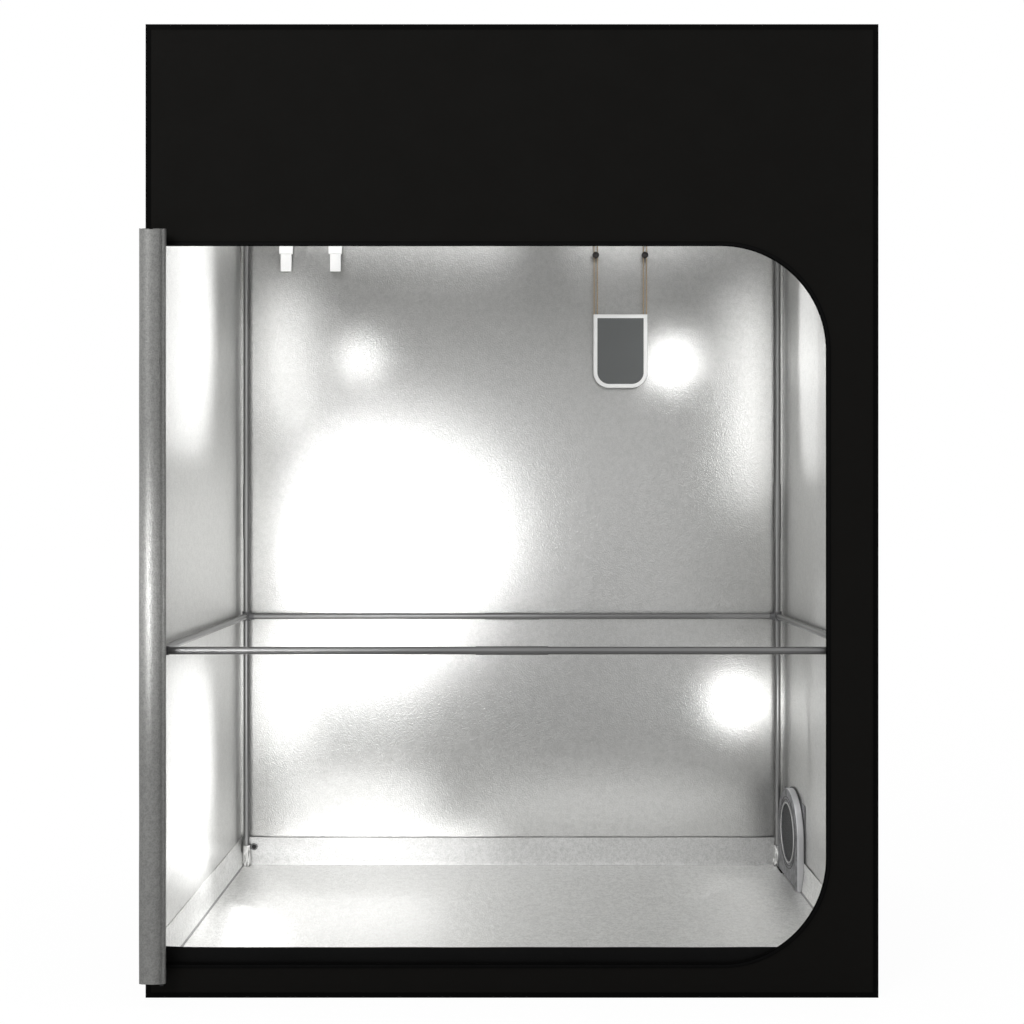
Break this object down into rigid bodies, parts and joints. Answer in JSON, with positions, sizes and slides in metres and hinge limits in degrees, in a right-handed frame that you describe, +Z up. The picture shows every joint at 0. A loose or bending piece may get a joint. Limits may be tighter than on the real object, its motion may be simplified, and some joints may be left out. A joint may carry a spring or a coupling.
{
  "type": "indoor grow tent",
  "caption": "Tall cloth-covered grow tent on a steel tube frame, with a rolled-up front door, floor tray, hanging straps and pouch.",
  "frame": {"origin": "middle of the underside of the floor panel, on the plane the tent stands on", "axes": "+Z up, -Y towards the door, +X to the right as seen from the front"},
  "size_m": [1.509, 0.9679, 2],
  "materials": {
    "cover_cloth": "black coated woven cloth with a silver inner face",
    "zip_tape": "black zip tape and coil",
    "zip_metal": "black enamelled",
    "lining_cloth": "silver pebbled film on black cloth",
    "intake_cloth": "silver grey padded cloth",
    "screen_mesh": "dark woven net",
    "sleeve_cloth": "black cloth duct",
    "frame_steel": "grey painted steel tube",
    "connector_plastic": "grey moulded plastic",
    "strap_webbing": "white woven webbing",
    "keeper_plastic": "white moulded plastic",
    "pouch_cloth": "grey sheet with a white bound edge",
    "cord_braid": "tan braided cord",
    "lock_plastic": "dark moulded plastic"
  },
  "bodies": {
    "tent": {"front_panel": "cover_cloth", "back_wall": "cover_cloth", "left_wall": "cover_cloth", "right_wall": "cover_cloth", "roof_panel": "cover_cloth", "floor_panel": "cover_cloth", "door_zip": "zip_tape", "floor_tray": "lining_cloth", "intake_sleeve": "intake_cloth", "intake_screen": "screen_mesh", "exhaust_sleeve": "sleeve_cloth", "connector_bottom_front_left": "connector_plastic", "connector_bottom_front_right": "connector_plastic", "connector_bottom_back_left": "connector_plastic", "connector_bottom_back_right": "connector_plastic", "connector_top_front_left": "connector_plastic", "connector_top_front_right": "connector_plastic", "connector_top_back_left": "connector_plastic", "connector_top_back_right": "connector_plastic", "post_lower_front_left": "frame_steel", "post_upper_front_left": "frame_steel", "post_lower_front_right": "frame_steel", "post_upper_front_right": "frame_steel", "post_lower_back_left": "frame_steel", "post_upper_back_left": "frame_steel", "post_lower_back_right": "frame_steel", "post_upper_back_right": "frame_steel", "bottom_bar_front": "frame_steel", "bottom_bar_back": "frame_steel", "bottom_bar_left": "frame_steel", "bottom_bar_right": "frame_steel", "top_bar_front": "frame_steel", "top_bar_back": "frame_steel", "top_bar_left": "frame_steel", "top_bar_right": "frame_steel"},
    "mid_ring": {"ring_bar_front": "frame_steel", "ring_bar_back": "frame_steel", "ring_bar_left": "frame_steel", "ring_bar_right": "frame_steel", "ring_clamp_front_left": "connector_plastic", "ring_clamp_front_right": "connector_plastic", "ring_clamp_back_left": "connector_plastic", "ring_clamp_back_right": "connector_plastic"},
    "door": {"door_roll": "lining_cloth"},
    "upper_slider": {"zip_slider_upper": "zip_metal"},
    "lower_slider": {"zip_slider_lower": "zip_metal"},
    "left_roof_bar": {"roof_bar_left": "frame_steel"},
    "right_roof_bar": {"roof_bar_right": "frame_steel"},
    "left_strap": {"hanging_strap_left": "strap_webbing"},
    "right_strap": {"hanging_strap_right": "strap_webbing"},
    "left_keeper": {"strap_keeper_left": "keeper_plastic"},
    "right_keeper": {"strap_keeper_right": "keeper_plastic"},
    "pouch": {"pouch": "pouch_cloth", "pouch_cord_left": "cord_braid", "pouch_cord_right": "cord_braid"},
    "left_lock": {"cord_lock_left": "lock_plastic"},
    "right_lock": {"cord_lock_right": "lock_plastic"}
  },
  "joints": [
    {"name": "ring_height", "type": "slide", "parent": "tent", "child": "mid_ring", "axis": [0, 0, 1], "range_m": [-0.4, 0.19]},
    {"name": "door_swing", "type": "hinge", "parent": "tent", "child": "door", "pos_m": [-0.7275, -0.45355, 0.8], "axis": [0, 0, 1], "range_deg": [-20, 16]},
    {"name": "upper_zip_run", "type": "slide", "parent": "tent", "child": "upper_slider", "axis": [1, 0, 0], "range_m": [0, 1.138]},
    {"name": "lower_zip_run", "type": "slide", "parent": "tent", "child": "lower_slider", "axis": [1, 0, 0], "range_m": [0, 1.138]},
    {"name": "left_roof_bar_slide", "type": "slide", "parent": "tent", "child": "left_roof_bar", "axis": [1, 0, 0], "range_m": [-0.14, 0.2]},
    {"name": "right_roof_bar_slide", "type": "slide", "parent": "tent", "child": "right_roof_bar", "axis": [1, 0, 0], "range_m": [-0.1, 0.19]},
    {"name": "left_strap_swing", "type": "hinge", "parent": "tent", "child": "left_strap", "pos_m": [-0.6225, 0.432, 1.9795], "axis": [-1, 0, 0], "range_deg": [0, 70]},
    {"name": "right_strap_swing", "type": "hinge", "parent": "tent", "child": "right_strap", "pos_m": [-0.4867, 0.432, 1.9795], "axis": [-1, 0, 0], "range_deg": [0, 70]},
    {"name": "left_keeper_slide", "type": "slide", "parent": "left_strap", "child": "left_keeper", "axis": [0, 0, 1], "range_m": [-0.045, 0.16]},
    {"name": "right_keeper_slide", "type": "slide", "parent": "right_strap", "child": "right_keeper", "axis": [0, 0, 1], "range_m": [-0.045, 0.16]},
    {"name": "pouch_swing", "type": "hinge", "parent": "tent", "child": "pouch", "pos_m": [0.2986, 0.432, 1.9795], "axis": [-1, 0, 0], "range_deg": [0, 60]},
    {"name": "left_lock_slide", "type": "slide", "parent": "pouch", "child": "left_lock", "axis": [0, 0, 1], "range_m": [-0.15, 0.13]},
    {"name": "right_lock_slide", "type": "slide", "parent": "pouch", "child": "right_lock", "axis": [0, 0, 1], "range_m": [-0.15, 0.13]}
  ]
}
